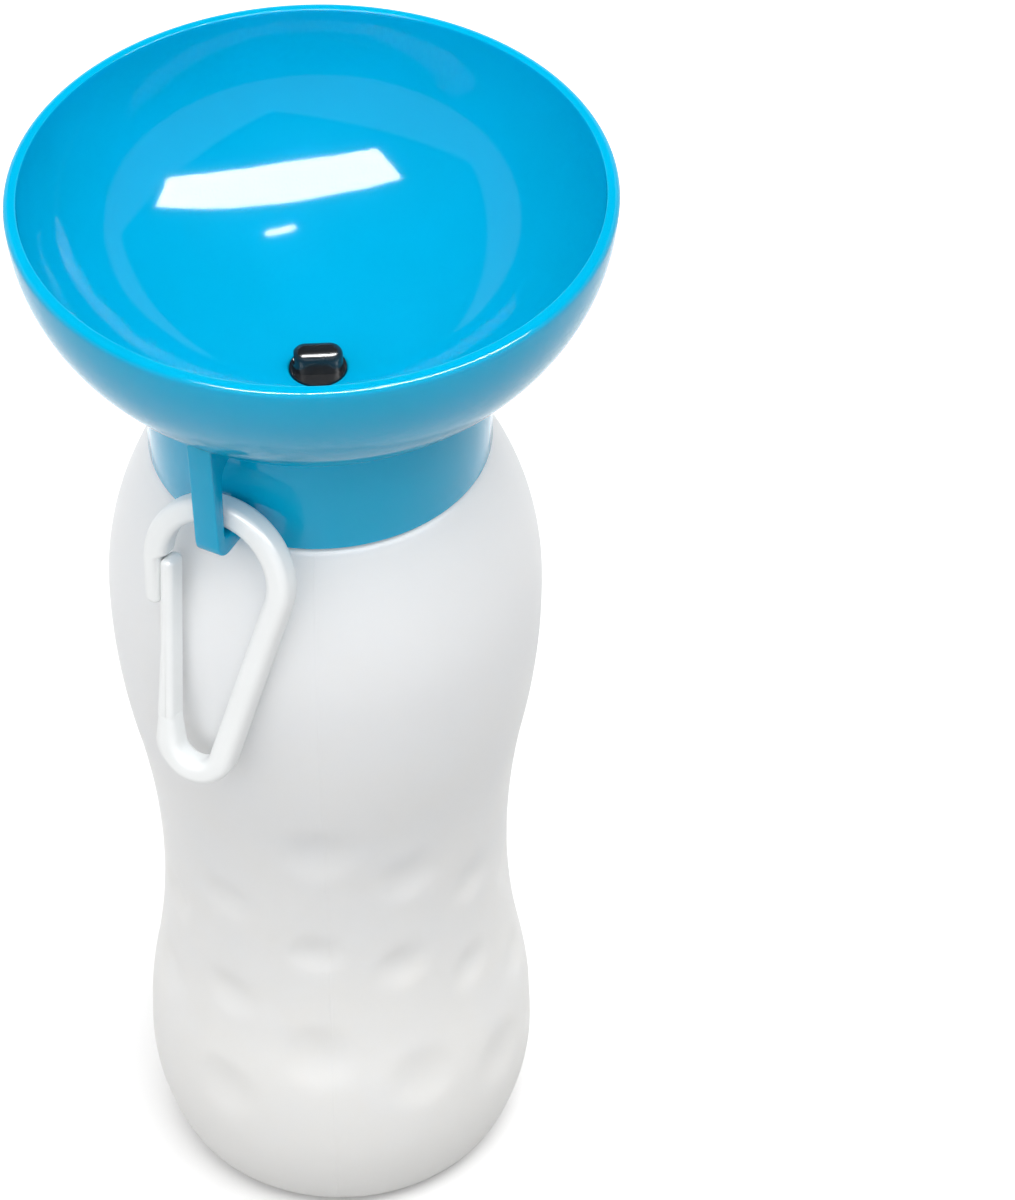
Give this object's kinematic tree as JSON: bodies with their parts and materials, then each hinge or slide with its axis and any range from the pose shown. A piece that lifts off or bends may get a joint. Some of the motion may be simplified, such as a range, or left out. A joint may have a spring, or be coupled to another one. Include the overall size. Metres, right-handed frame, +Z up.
{
  "type": "dog travel water bottle",
  "caption": "Squeeze bottle for dogs whose lid is a drinking bowl: squeezing fills the bowl through a turning valve, and a snap clip hangs under it.",
  "frame": {"origin": "centre of the standing face", "axes": "+Z up through the bottle and the bowl; the clip hangs on the -Y side"},
  "size_m": [0.114, 0.114, 0.244],
  "materials": {
    "frosted_plastic": "frosted, milky, slightly translucent",
    "blue_plastic": "satin moulded",
    "seal_rubber": "soft, matt",
    "clear_tube": "extruded, natural",
    "black_plastic": "satin moulded",
    "white_plastic": "satin moulded"
  },
  "bodies": {
    "bottle": {"bottle": "frosted_plastic"},
    "seal": {"lid_gasket": "seal_rubber"},
    "cap": {"bowl": "blue_plastic", "dip_tube": "clear_tube", "valve_seat": "seal_rubber"},
    "valve": {"valve_knob": "black_plastic", "valve_o_ring": "seal_rubber"},
    "carabiner": {"carabiner_body": "white_plastic"},
    "gate": {"carabiner_gate": "white_plastic"}
  },
  "joints": [
    {"name": "cap_lift", "type": "slide", "parent": "bottle", "child": "seal", "axis": [0, 0, 1], "range_m": [0, 0.0059]},
    {"name": "cap_turn", "type": "hinge", "parent": "seal", "child": "cap", "pos_m": [0, 0, 0.204], "axis": [0, 0, 1], "range_deg": [0, 500]},
    {"name": "valve_turn", "type": "hinge", "parent": "cap", "child": "valve", "pos_m": [0, 0, 0.2008], "axis": [0, 0, -1], "range_deg": [0, 90]},
    {"name": "carabiner_swing", "type": "hinge", "parent": "cap", "child": "carabiner", "pos_m": [0, -0.0371, 0.19449], "axis": [-1, 0, 0], "range_deg": [0, 115]},
    {"name": "gate_open", "type": "hinge", "parent": "carabiner", "child": "gate", "pos_m": [-0.00797, -0.04671, 0.14684], "axis": [0, 0.9803, -0.1978], "range_deg": [0, 22], "stiffness_Nm_per_rad": 0.05}
  ],
  "couplings": [
    {"joint": "cap_lift", "follows": "cap_turn", "m_per_rad": 0.00067375}
  ]
}
